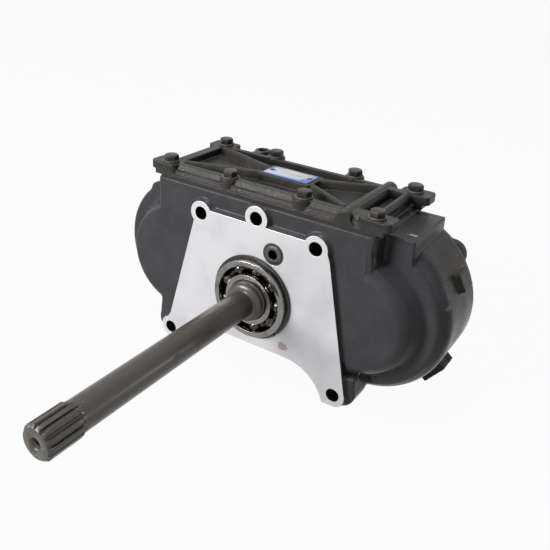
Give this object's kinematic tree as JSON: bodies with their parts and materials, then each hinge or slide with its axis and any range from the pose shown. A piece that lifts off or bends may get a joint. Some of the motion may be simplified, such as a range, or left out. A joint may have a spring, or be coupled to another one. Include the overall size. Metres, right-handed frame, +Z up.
{
  "type": "power take off unit",
  "caption": "Rear power take off for a truck gearbox: long splined input shaft, machined pad with a pilot bearing, ribbed top cover and a pump mount behind each side lobe.",
  "frame": {"origin": "input shaft axis at the plane of the machined mounting pad", "axes": "-Y along the input shaft out of the pad, +Y to the pumps, +Z up to the ribbed cover, +X to the side with the oil gallery rib"},
  "size_m": [0.3678, 0.3871, 0.2006],
  "materials": {
    "ball_steel": "polished",
    "bearing_steel": "ground bearing steel",
    "bolt_steel": "dark zinc steel with a little rust on the flats",
    "cage_steel": "pressed steel, satin",
    "clip_steel": "black oxide spring steel",
    "copper_washer": "dull copper",
    "gasket": "thin black gasket",
    "gear_steel": "hardened and ground steel",
    "housing_paint": "dark grey paint over cast iron; the pad is machined bare",
    "nameplate": "blank light grey plate with blue fields",
    "output_shaft_steel": "turned steel",
    "plug_steel": "plain turned steel",
    "rear_cover_paint": "dark grey paint over cast iron",
    "rivet": "dull",
    "seal_rubber": "matte black rubber",
    "shaft_steel": "warm dark gunmetal, smooth turned",
    "top_cover_paint": "brownish dark grey paint over rough cast iron",
    "washer_steel": "dull yellowish steel"
  },
  "bodies": {
    "housing": {"main_housing": "housing_paint", "rear_gasket": "gasket", "rear_cover": "rear_cover_paint", "rear_cover_bolts": "bolt_steel", "top_gasket": "gasket", "top_cover": "top_cover_paint", "top_cover_bolts": "bolt_steel", "top_cover_washers": "washer_steel", "nameplate": "nameplate", "nameplate_rivets": "rivet", "oil_bush": "plug_steel", "oil_bush_ring": "seal_rubber", "drain_plug": "plug_steel", "filler_plug": "plug_steel", "plug_washers": "copper_washer", "input_snap_ring": "clip_steel", "input_front_outer_ring": "bearing_steel", "input_rear_outer_ring": "bearing_steel", "left_seal": "seal_rubber", "left_front_outer_ring": "bearing_steel", "left_rear_outer_ring": "bearing_steel", "right_seal": "seal_rubber", "right_front_outer_ring": "bearing_steel", "right_rear_outer_ring": "bearing_steel"},
    "input": {"input_front_inner_ring": "bearing_steel", "input_shaft": "shaft_steel", "input_gear": "gear_steel", "input_key": "clip_steel", "input_circlip": "clip_steel", "input_rear_inner_ring": "bearing_steel"},
    "left_output": {"left_shaft": "output_shaft_steel", "left_gear": "gear_steel", "left_key": "clip_steel", "left_circlip": "clip_steel", "left_front_inner_ring": "bearing_steel", "left_rear_inner_ring": "bearing_steel"},
    "right_output": {"right_shaft": "output_shaft_steel", "right_gear": "gear_steel", "right_key": "clip_steel", "right_circlip": "clip_steel", "right_front_inner_ring": "bearing_steel", "right_rear_inner_ring": "bearing_steel"},
    "input_front_balls_and_cage": {"input_front_balls": "ball_steel", "input_front_cage": "cage_steel"},
    "input_rear_balls_and_cage": {"input_rear_balls": "ball_steel", "input_rear_cage": "cage_steel"},
    "left_front_balls_and_cage": {"left_front_balls": "ball_steel", "left_front_cage": "cage_steel"},
    "left_rear_balls_and_cage": {"left_rear_balls": "ball_steel", "left_rear_cage": "cage_steel"},
    "right_front_balls_and_cage": {"right_front_balls": "ball_steel", "right_front_cage": "cage_steel"},
    "right_rear_balls_and_cage": {"right_rear_balls": "ball_steel", "right_rear_cage": "cage_steel"}
  },
  "joints": [
    {"name": "input_turn", "type": "hinge", "parent": "housing", "child": "input", "pos_m": [0, 0, 0], "axis": [0, 1, 0], "continuous": true},
    {"name": "left_output_turn", "type": "hinge", "parent": "housing", "child": "left_output", "pos_m": [-0.10169, 0, 0.008], "axis": [0, 1, 0], "continuous": true},
    {"name": "right_output_turn", "type": "hinge", "parent": "housing", "child": "right_output", "pos_m": [0.10169, 0, 0.008], "axis": [0, 1, 0], "continuous": true},
    {"name": "input_front_cage_turn", "type": "hinge", "parent": "housing", "child": "input_front_balls_and_cage", "pos_m": [0, 0, 0], "axis": [0, 1, 0], "continuous": true},
    {"name": "input_rear_cage_turn", "type": "hinge", "parent": "housing", "child": "input_rear_balls_and_cage", "pos_m": [0, 0, 0], "axis": [0, 1, 0], "continuous": true},
    {"name": "left_front_cage_turn", "type": "hinge", "parent": "housing", "child": "left_front_balls_and_cage", "pos_m": [-0.10169, 0, 0.008], "axis": [0, 1, 0], "continuous": true},
    {"name": "left_rear_cage_turn", "type": "hinge", "parent": "housing", "child": "left_rear_balls_and_cage", "pos_m": [-0.10169, 0, 0.008], "axis": [0, 1, 0], "continuous": true},
    {"name": "right_front_cage_turn", "type": "hinge", "parent": "housing", "child": "right_front_balls_and_cage", "pos_m": [0.10169, 0, 0.008], "axis": [0, 1, 0], "continuous": true},
    {"name": "right_rear_cage_turn", "type": "hinge", "parent": "housing", "child": "right_rear_balls_and_cage", "pos_m": [0.10169, 0, 0.008], "axis": [0, 1, 0], "continuous": true}
  ],
  "couplings": [
    {"joint": "left_output_turn", "follows": "input_turn", "ratio": -1.04},
    {"joint": "right_output_turn", "follows": "input_turn", "ratio": -1.04},
    {"joint": "input_front_cage_turn", "follows": "input_turn", "ratio": 0.4},
    {"joint": "input_rear_cage_turn", "follows": "input_turn", "ratio": 0.39626},
    {"joint": "left_front_cage_turn", "follows": "input_turn", "ratio": -0.416},
    {"joint": "left_rear_cage_turn", "follows": "input_turn", "ratio": -0.43086},
    {"joint": "right_front_cage_turn", "follows": "input_turn", "ratio": -0.416},
    {"joint": "right_rear_cage_turn", "follows": "input_turn", "ratio": -0.43086}
  ]
}
